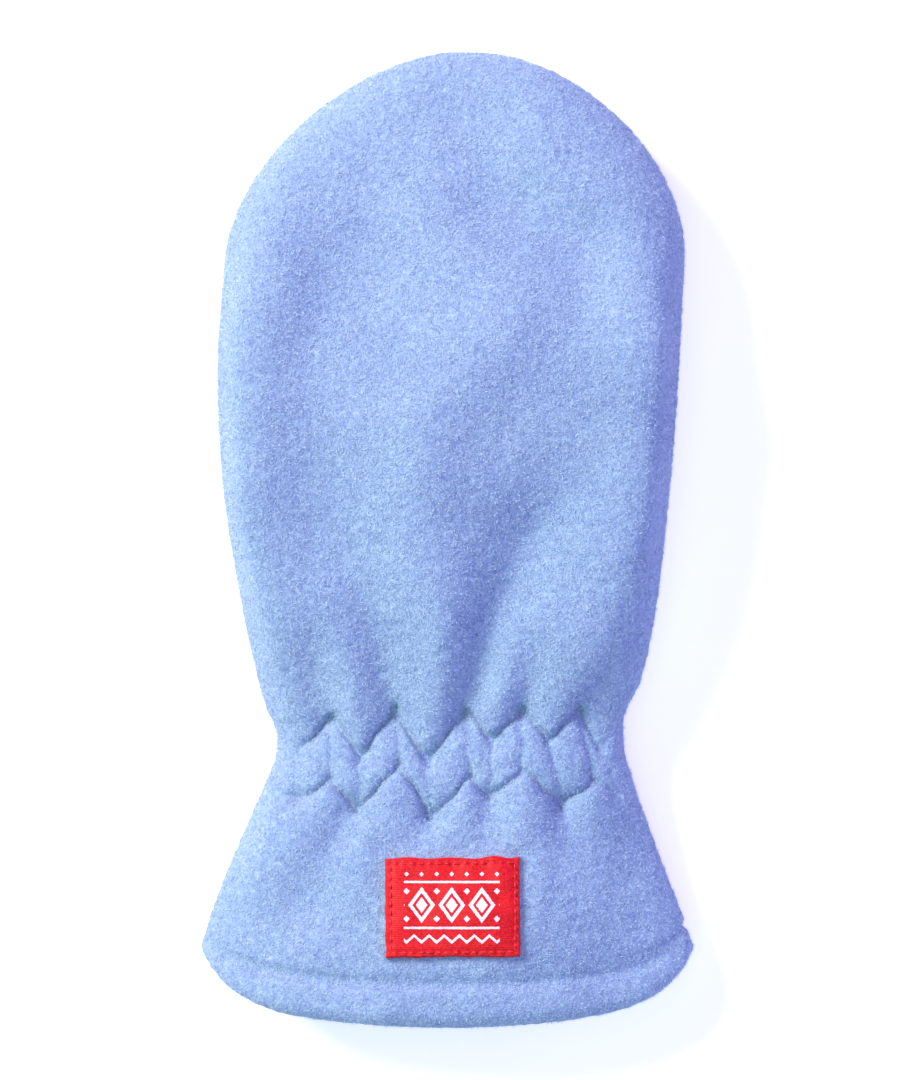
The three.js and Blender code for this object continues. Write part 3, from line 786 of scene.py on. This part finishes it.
# %% Zigzag rows and hem row of both panels
THREAD = 0.42
THREAD_LIFT = -0.4            # the nap closes over it
ZIGZAG_STITCH = 2.4
HEM_STITCH = 2.6
SIDE_CLEARANCE = 1.6          # the seam allowance hides the ends of the rows
HEM_REACH = 0.96              # the hem's stitches end just short of the side seams
HEM_MARKS = 30                # the hem's curve is followed through this many places
thread_pieces = []
for side, mirror in FACING.items():
    starts, ends = [], []
    for row in (UPPER_ROW, LOWER_ROW):
        line = row * (mirror, 1)
        first, last = split_line(line[np.argsort(line[:, 0])], ZIGZAG_STITCH)
        starts.append(first)
        ends.append(last)
    u = np.linspace(-HEM_REACH, HEM_REACH, HEM_MARKS)
    hem_line = plain_points(side, u, np.full(HEM_MARKS, HEM_STITCH_SIDE_Y), 0.0)[:, :2]
    first, last = split_line(hem_line, HEM_STITCH)
    starts = np.concatenate(starts + [first])
    ends = np.concatenate(ends + [last])
    middle = (starts + ends) / 2
    width = np.minimum(-section_value("left", middle[:, 1]), section_value("right", middle[:, 1]))
    inside = np.abs(middle[:, 0]) < width - SIDE_CLEARANCE
    thread_pieces.append(stitches(f"{side}_thread", side, starts[inside], ends[inside], THREAD, THREAD_LIFT))

# %% [markdown]
# ## Label
#
# The label is a damask ribbon, woven in two colours of polyester thread, folded under at its
# ends and sewn flat on the cuff. A plain plane would float over the cloth or cut into it, so
# it is a thin closed cushion laid on the panel's own points. Its border is pulled down by
# every stitch, which makes the edge slightly wavy.

# %% Stitching line of the label
LABEL_STITCH = 1.3
LABEL_STITCH_INSET = 0.8


def label_border(inset):
    a = LABEL["width"] / 2 - inset
    b = LABEL["height"] / 2 - inset
    return np.array([(-a, -b), (a, -b), (a, b), (-a, b), (-a, -b)])


def label_to_table(places):
    a, b = places[..., 0], places[..., 1]
    return np.stack([LABEL["x"] + a - b * LABEL["turn"], LABEL["y"] + b + a * LABEL["turn"]], axis=-1)


label_starts, label_ends = split_line(label_border(LABEL_STITCH_INSET), LABEL_STITCH)
print(len(label_starts), "stitches round the label")

# %% Label mesh
LABEL_ROWS = 66
LABEL_COLUMNS = 90
LABEL_EDGE = 0.5              # the folded edge rounds off over this distance
LABEL_EDGE_THICK = 0.35       # share of the thickness at the very edge
LABEL_WAVE = 0.08             # how far the edges stray from straight
LABEL_SAG = 0.10              # slow unevenness of the ribbon
LABEL_UNDERSIDE = 0.05        # height of its underside over the cloth
HOLE_DEPTH = 0.22             # how far a stitch pulls the label down
HOLE_WIDTH = 0.45
a, b = np.meshgrid(np.linspace(-0.5, 0.5, LABEL_COLUMNS + 1), np.linspace(-0.5, 0.5, LABEL_ROWS + 1))
a, b = a * LABEL["width"], b * LABEL["height"]
to_edge = np.minimum(LABEL["width"] / 2 - np.abs(a), LABEL["height"] / 2 - np.abs(b))
holes = np.concatenate([label_starts, label_ends])
to_hole = np.min(np.hypot(a[..., None] - holes[:, 0], b[..., None] - holes[:, 1]), axis=-1)
wave = random_waves(np.stack([a, b, 0 * a], axis=-1), 3.4, seed=31)
a_wavy = a + LABEL_WAVE * wave * bump(LABEL["width"] / 2 - np.abs(a), 1.0)
b_wavy = b + LABEL_WAVE * wave * bump(LABEL["height"] / 2 - np.abs(b), 1.0)
table = label_to_table(np.stack([a_wavy, b_wavy], axis=-1))
surface, out = panel_surface("front", table[..., 0], table[..., 1])
rounded = np.sqrt(1 - (1 - np.clip(to_edge / LABEL_EDGE, 0, 1)) ** 2)
height = LABEL["thick"] * (LABEL_EDGE_THICK + (1 - LABEL_EDGE_THICK) * rounded)
height -= HOLE_DEPTH * bump(to_hole, HOLE_WIDTH)
height += LABEL_SAG * random_waves(table @ np.array([[1, 0, 0], [0, 1, 0]]), 5.0, seed=32)
label_outer = surface + out * (LABEL["lift"] + height)[..., None]
label_inner = (surface + out * LABEL_UNDERSIDE)[::INNER_STEP, ::INNER_STEP]
woven_label = closed_wall("woven_label", label_outer, label_inner)

# %% Label stitches
LABEL_THREAD = 0.28
LABEL_THREAD_SINK = 0.12
label_thread = stitches("label_thread", "front", label_to_table(label_starts), label_to_table(label_ends),
                        LABEL_THREAD, LABEL["lift"] + LABEL["thick"] - LABEL_THREAD_SINK)

# %% [markdown]
# # Materials
#
# Colours are given as sRGB hex values, as a picture program shows them. Blender's nodes work
# in linear light, so one function turns them. Another small function adds a node with its
# settings and links.

# %% Colour and node helpers
def linear(hex_value):
    """An sRGB hex colour as linear RGBA."""
    srgb = [int(hex_value[k:k + 2], 16) / 255 for k in (1, 3, 5)]
    return [c / 12.92 if c <= 0.04045 else ((c + 0.055) / 1.055) ** 2.4 for c in srgb] + [1.0]


def add_node(tree, kind, sockets, **settings):
    """Adds a node with its settings. A socket takes a value, a node or one of its outputs."""
    node = tree.nodes.new("ShaderNode" + kind)
    for name, value in settings.items():
        setattr(node, name, value)
    for key, value in sockets.items():
        named = [socket for socket in node.inputs if socket.enabled and socket.name == key]
        target = named[0] if named else node.inputs[key]
        if isinstance(value, bpy.types.Node):
            value = next(output for output in value.outputs if output.enabled)
        if isinstance(value, bpy.types.NodeSocket):
            tree.links.new(value, target)
        else:
            target.default_value = value
    return node


def new_material(name):
    """An empty material, its tree, and the object's own coordinates in millimetres."""
    material = bpy.data.materials.new(name)
    material.use_nodes = True
    tree = material.node_tree
    tree.nodes.clear()
    place = add_node(tree, "TexCoord", {})
    mm = add_node(tree, "VectorMath", {0: place.outputs["Object"], 1: (1000.0, 1000.0, 1000.0)},
                  operation="MULTIPLY")
    return material, tree, mm


def put_on(pieces, material, shader):
    """Ends a material with its shader and gives it to some pieces."""
    add_node(material.node_tree, "OutputMaterial", {"Surface": shader})
    for piece in pieces:
        piece.data.materials.append(material)
    print(material.name, len(material.node_tree.nodes), "nodes, on", len(pieces), "pieces")


# %% [markdown]
# ## Polar fleece
#
# The cloth is knitted polyester, raised by wire brushes, shorn and tumbled. Its fibres scatter
# light in every direction, so it is very matt, with a faint pale sheen where it is seen along
# the surface. Dye and brushing give it slow clouds of tone some 14 mm wide, and the tumbled
# nap forms curls of about 0.9 mm. Single fibres are 0.02 mm thick, too fine to show here, so
# the finest grain is drawn at 0.35 mm.

# %% Fleece ground
# The ground is set darker than the nap of the same dye: painted shade in the gaps between the strands. Its
# clouds, curls and grain are the cloth's own tone.
FLEECE_DEEP = "#677dac"
FLEECE_MID = "#8da6c6"
FLEECE_PALE = "#b6d0de"
CLOUD_SIZE = 14.0
CURL_SIZE = 0.9
GRAIN_SIZE = 0.35

polar_fleece, tree, mm = new_material("polar_fleece")
clouds = add_node(tree, "TexNoise", {"Vector": mm, "Scale": 1 / CLOUD_SIZE, "Detail": 3.0})
curls = add_node(tree, "TexNoise", {"Vector": mm, "Scale": 1 / CURL_SIZE, "Detail": 3.0,
                                              "Roughness": 0.6, "Distortion": 0.8})
grain = add_node(tree, "TexNoise", {"Vector": mm, "Scale": 1 / GRAIN_SIZE, "Detail": 2.0,
                                              "Distortion": 1.2})
cloud_part = add_node(tree, "Math", {0: clouds, 1: 0.2, 2: 0.0}, operation="MULTIPLY_ADD")
curl_part = add_node(tree, "Math", {0: curls, 1: 0.7, 2: cloud_part}, operation="MULTIPLY_ADD")
tone = add_node(tree, "Math", {0: grain, 1: 0.55, 2: curl_part}, operation="MULTIPLY_ADD")
base_colour = add_node(tree, "ValToRGB", {"Fac": tone})
base_colour.color_ramp.elements[0].position = 0.45
base_colour.color_ramp.elements[0].color = linear(FLEECE_DEEP)
base_colour.color_ramp.elements[1].position = 1.1
base_colour.color_ramp.elements[1].color = linear(FLEECE_PALE)
base_colour.color_ramp.elements.new(0.75).color = linear(FLEECE_MID)
felt = add_node(tree, "Bump", {"Height": curls, "Strength": 0.5, "Distance": 0.0003})
fibres = add_node(tree, "Bump", {"Height": grain, "Strength": 0.8, "Distance": 0.00015,
                                           "Normal": felt})
shader = add_node(tree, "BsdfPrincipled", {
    "Base Color": base_colour, "Normal": fibres, "Roughness": 0.95, "IOR": 1.5, "Specular IOR Level": 0.15,
    "Sheen Weight": 0.25, "Sheen Roughness": 0.55, "Sheen Tint": linear("#dfe8ff"),
})
put_on([front_fleece, back_fleece], polar_fleece, shader)

# %% [markdown]
# ## Brushed nap
#
# The raised fibre ends are the same dyed polyester. Light passes through them a little, so
# they look paler than the ground between them, and each tip took the dye and the shears
# differently. Noise of 0.4 mm, about the length of a strand, gives that.

# %% Nap strands
# Both nap colours are paler than the fleece ground: painted light for the light that passes through the
# fibre ends.
NAP_SHADE = "#8497c2"
NAP_LIGHT = "#c6dee9"
TIP_SIZE = 0.4

brushed_nap, tree, mm = new_material("brushed_nap")
tips = add_node(tree, "TexNoise", {"Vector": mm, "Scale": 1 / TIP_SIZE, "Detail": 2.0})
clouds = add_node(tree, "TexNoise", {"Vector": mm, "Scale": 1 / CLOUD_SIZE, "Detail": 3.0})
slow = add_node(tree, "Math", {0: clouds, 1: 0.15, 2: -0.07}, operation="MULTIPLY_ADD")
spread = add_node(tree, "Math", {0: tips, 1: 1.8, 2: slow}, operation="MULTIPLY_ADD")
paler = add_node(tree, "Math", {0: spread, 1: 0.3}, operation="SUBTRACT", use_clamp=True)
base_colour = add_node(tree, "Mix", {"Factor": paler, "A": linear(NAP_SHADE), "B": linear(NAP_LIGHT)},
               data_type="RGBA")
shader = add_node(tree, "BsdfPrincipled", {
    "Base Color": base_colour, "Roughness": 0.9, "IOR": 1.5, "Specular IOR Level": 0.15,
    "Sheen Weight": 0.15, "Sheen Roughness": 0.5, "Sheen Tint": linear("#dfe8ff"),
})
nap_pieces = front_nap + [back_nap] + inside_nap
put_on(nap_pieces, brushed_nap, shader)

# %% [markdown]
# ## Spun polyester thread
#
# Two plies of dyed polyester twisted together, in the cloth's own colour. It has a little more
# gloss than the fleece. The twist, about 0.5 mm long, is a band pattern across the thread.

# %% Sewing thread
spun_polyester, tree, mm = new_material("spun_polyester_thread")
twist = add_node(tree, "TexWave", {"Vector": mm, "Scale": 0.6, "Distortion": 1.0},
                 bands_direction="DIAGONAL")
base_colour = add_node(tree, "Mix", {"Factor": twist, "A": linear("#6d82c4"), "B": linear("#8ea6dc")},
               data_type="RGBA")
ply = add_node(tree, "Bump", {"Height": twist, "Strength": 0.4, "Distance": 0.0001})
shader = add_node(tree, "BsdfPrincipled", {
    "Base Color": base_colour, "Normal": ply, "Roughness": 0.6, "IOR": 1.5, "Specular IOR Level": 0.4,
})
put_on(thread_pieces, spun_polyester, shader)

# %% [markdown]
# ## Woven damask label
#
# A damask label is woven of fine filament polyester: red warp as the ground and white weft
# that comes to the top where the picture is. Its satin gives a soft gloss. Real threads lie
# 0.12 mm apart, too fine to show, so the weft is drawn 0.34 mm apart. The ornament is a plain
# traditional one: a row of lozenges between two lines, dots above and a zigzag below.
#
# Each motif is a distance: to the nearest lozenge centre, line, dot or zigzag. Ping-pong
# repeats a distance along the row, and a step turns each distance into white or red. A table
# lists these sums in order, and a loop makes a node of each.

# %% Label ornament
LABEL_RED = "#f0141e"
LABEL_RED_DARK = "#b4060e"
LABEL_WHITE = "#f3f1f5"
MOTIF_PITCH = 4.6
MOTIF_REACH = 7.3             # the ornament ends this far from the middle
WEFT_PITCH = 0.34
WEFT_SCALE = 0.314 / WEFT_PITCH         # a wave texture of scale 1 repeats every 0.314
FLECK_SIZE = 0.3

woven_damask, tree, mm = new_material("woven_damask_label")
label_centre = (LABEL["x"], LABEL["y"], 0.0)
local = add_node(tree, "VectorMath", {0: mm, 1: label_centre}, operation="SUBTRACT")
axes = add_node(tree, "SeparateXYZ", {"Vector": local})
ragged = add_node(tree, "TexNoise", {"Vector": mm, "Scale": 2.5, "Detail": 1.0})
made = {"ragged": ragged, "x": axes.outputs["X"], "y": axes.outputs["Y"]}

# %% Sums of the ornament
ORNAMENT = [                  # result, operation and inputs, where a name is an earlier result
    ("uneven", "MULTIPLY_ADD", "ragged", 0.16, -0.08),
    ("across", "ADD", "x", "uneven"),
    ("up", "ADD", "y", "uneven"),
    ("off_axis", "SUBTRACT", "up", 0.5),
    ("from_axis", "ABSOLUTE", "off_axis"),
    ("from_centre", "PINGPONG", "across", MOTIF_PITCH / 2),
    # lozenges with a filled middle
    ("wide", "DIVIDE", "from_centre", 2.15),
    ("tall", "DIVIDE", "from_axis", 2.9),
    ("lozenge", "ADD", "wide", "tall"),
    ("outlines", "COMPARE", "lozenge", 0.8, 0.15),
    ("kernels", "LESS_THAN", "lozenge", 0.42),
    # sparks between them
    ("between", "SUBTRACT", MOTIF_PITCH / 2, "from_centre"),
    ("above", "SUBTRACT", "from_axis", 2.1),
    ("aside", "ABSOLUTE", "above"),
    ("to_spark", "ADD", "between", "aside"),
    ("sparks", "LESS_THAN", "to_spark", 0.5),
    # lines, dots and zigzag
    ("lines", "COMPARE", "from_axis", 3.5, 0.17),
    ("swing", "PINGPONG", "across", 1.15),
    ("dot_row", "SUBTRACT", "up", 5.2),
    ("dot_height", "ABSOLUTE", "dot_row"),
    ("to_dot", "ADD", "swing", "dot_height"),
    ("dots", "LESS_THAN", "to_dot", 0.36),
    ("zigzag_height", "MULTIPLY_ADD", "swing", 0.9, -5.2),
    ("zigzag", "COMPARE", "up", "zigzag_height", 0.24),
    # all of them in one row
    ("motifs", "MAXIMUM", "outlines", "kernels"),
    ("motifs", "MAXIMUM", "motifs", "sparks"),
    ("motifs", "MAXIMUM", "motifs", "lines"),
    ("motifs", "MAXIMUM", "motifs", "dots"),
    ("motifs", "MAXIMUM", "motifs", "zigzag"),
    ("from_middle", "ABSOLUTE", "across"),
    ("in_row", "LESS_THAN", "from_middle", MOTIF_REACH),
    ("picture", "MULTIPLY", "motifs", "in_row"),
]
for result, operation, *inputs in ORNAMENT:
    sockets = {k: made.get(value, value) for k, value in enumerate(inputs)}
    made[result] = add_node(tree, "Math", sockets, operation=operation)
picture = made["picture"]
print(len(ORNAMENT), "sums make the ornament")

# %% Damask cloth
weft = add_node(tree, "TexWave", {"Vector": mm, "Scale": WEFT_SCALE, "Distortion": 0.6},
                bands_direction="Y")
fleck = add_node(tree, "TexNoise", {"Vector": mm, "Scale": 1 / FLECK_SIZE, "Detail": 2.0})
flecks = add_node(tree, "MapRange", {"Value": fleck, "From Min": 0.35, "From Max": 0.65})
red = add_node(tree, "Mix", {"Factor": flecks, "A": linear(LABEL_RED_DARK), "B": linear(LABEL_RED)},
               data_type="RGBA")
wear = add_node(tree, "Math", {0: weft, 1: 0.25, 2: 0.75}, operation="MULTIPLY_ADD")
worn_white = add_node(tree, "Math", {0: picture, 1: wear}, operation="MULTIPLY")
colours = add_node(tree, "Mix", {"Factor": worn_white, "A": red, "B": linear(LABEL_WHITE)},
                   data_type="RGBA")
ground_relief = add_node(tree, "Math", {0: weft, 1: 0.5, 2: fleck}, operation="MULTIPLY_ADD")
relief = add_node(tree, "Math", {0: picture, 1: 0.6, 2: ground_relief}, operation="MULTIPLY_ADD")
threads = add_node(tree, "Bump", {"Height": relief, "Strength": 0.5, "Distance": 0.0001})
shader = add_node(tree, "BsdfPrincipled", {
    "Base Color": colours, "Normal": threads, "Roughness": 0.55, "IOR": 1.5, "Specular IOR Level": 0.3,
    "Sheen Weight": 0.03, "Sheen Roughness": 0.4,
})
put_on([woven_label], woven_damask, shader)

# %% Label thread
red_thread, tree, mm = new_material("red_label_thread")
twist = add_node(tree, "TexWave", {"Vector": mm, "Scale": 0.7, "Distortion": 1.0},
                 bands_direction="DIAGONAL")
base_colour = add_node(tree, "Mix", {"Factor": twist, "A": linear("#c20c18"), "B": linear("#f23038")},
               data_type="RGBA")
shader = add_node(tree, "BsdfPrincipled", {
    "Base Color": base_colour, "Roughness": 0.5, "IOR": 1.5, "Specular IOR Level": 0.4,
})
put_on([label_thread], red_thread, shader)

# %% [markdown]
# # Studio
#
# The mitten lies on a plain pale board. A soft box at the upper left makes the form clear, and
# a large one overhead softens the shadows. A violet panel at the right and a pale violet world
# tint the shaded sides, and a weak green panel below opens the folds of the cuff. The board
# glows faintly, as a light table does, so that shadows on it stay pale. The camera looks
# straight down from a little over a metre, so that the loft hardly changes the outline.
#
# A film-like view transform would grey the pale blue and the white board. The standard one
# shows the hex colours as they are given.

# %% Floor
FLOOR_SIZE = 4.0              # metres
FLOOR_HEIGHT = -0.1           # millimetres, just below the cloth
corners = np.array([(-0.5, -0.5, 0), (0.5, -0.5, 0), (0.5, 0.5, 0), (-0.5, 0.5, 0)]) * FLOOR_SIZE / MM
floor = mesh_piece("floor", corners, [np.array([[0, 1, 2, 3]])])
floor.location.z = FLOOR_HEIGHT * MM
painted_board, tree, mm = new_material("painted_board")
mottle = add_node(tree, "TexNoise", {"Vector": mm, "Scale": 1 / 40, "Detail": 2.0})
paint = add_node(tree, "Mix", {"Factor": mottle, "A": linear("#f4f4f6"), "B": linear("#f7f7f8")},
                 data_type="RGBA")
shader = add_node(tree, "BsdfPrincipled", {
    "Base Color": paint, "Roughness": 0.8, "IOR": 1.5, "Specular IOR Level": 0.2,
    "Emission Color": linear("#ffffff"), "Emission Strength": 0.45,
})
put_on([floor], painted_board, shader)

# %% Lights
from mathutils import Vector


def soft_box(name, place, size, power, colour):
    light = bpy.data.lights.new(name, "AREA")
    light.shape = "DISK"
    light.size = size
    light.energy = power
    light.color = linear(colour)[:3]
    lamp = bpy.data.objects.new(name, light)
    lamp.location = place
    lamp.rotation_euler = (-Vector(place)).to_track_quat("-Z", "Y").to_euler()
    bpy.context.collection.objects.link(lamp)


soft_box("upper_left_key", (-0.85, 0.62, 0.85), 0.55, 26.5, "#fffef9")
soft_box("overhead", (0.0, 0.0, 2.2), 1.4, 10.0, "#ffffff")
soft_box("right_fill", (0.95, 0.1, 0.55), 0.8, 5.2, "#b088ff")
soft_box("lower_fill", (-0.1, -0.85, 0.7), 0.8, 2.5, "#80ffcc")
world = bpy.data.worlds.new("pale_studio")
world.use_nodes = True
background = world.node_tree.nodes["Background"]
background.inputs["Color"].default_value = linear("#baaaff")
background.inputs["Strength"].default_value = 0.45
bpy.context.scene.world = world
bpy.context.scene.view_settings.view_transform = "Standard"

# %% Camera
CAMERA_HEIGHT = 1.1           # metres, as the next three
FRAME_HEIGHT = 0.16654        # what the picture shows from top to bottom
SEAM_HEIGHT = 0.008           # at the height of the side seams, which make the outline
CAMERA_OFFSET = (0.00023, -0.00031)     # the mitten lies a little off the picture's centre
SENSOR = 36.0                 # millimetres
camera_data = bpy.data.cameras.new("overhead")
camera_data.sensor_width = SENSOR
camera_data.lens = SENSOR * (CAMERA_HEIGHT - SEAM_HEIGHT) / FRAME_HEIGHT
camera = bpy.data.objects.new("overhead", camera_data)
camera.location = (*CAMERA_OFFSET, CAMERA_HEIGHT)
bpy.context.collection.objects.link(camera)
bpy.context.scene.camera = camera
print("lens, mm", round(camera_data.lens, 1))

# %% [markdown]
# # The body
#
# Everything is one body, so each piece rides on the root. The fleece pieces stand for the
# imported solids of the same panels. Each panel was cut wider at the wrist than it lies,
# because the elastic draws it in there.

# %% What each piece is
front_trim = front_nap + [inside_nap[0], thread_pieces[0], woven_label, label_thread]
back_trim = [back_nap, inside_nap[1], thread_pieces[1]]
for piece in [front_fleece, back_fleece] + front_trim + back_trim:
    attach(piece, "root")
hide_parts("front_panel")
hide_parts("back_panel")
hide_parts("label")
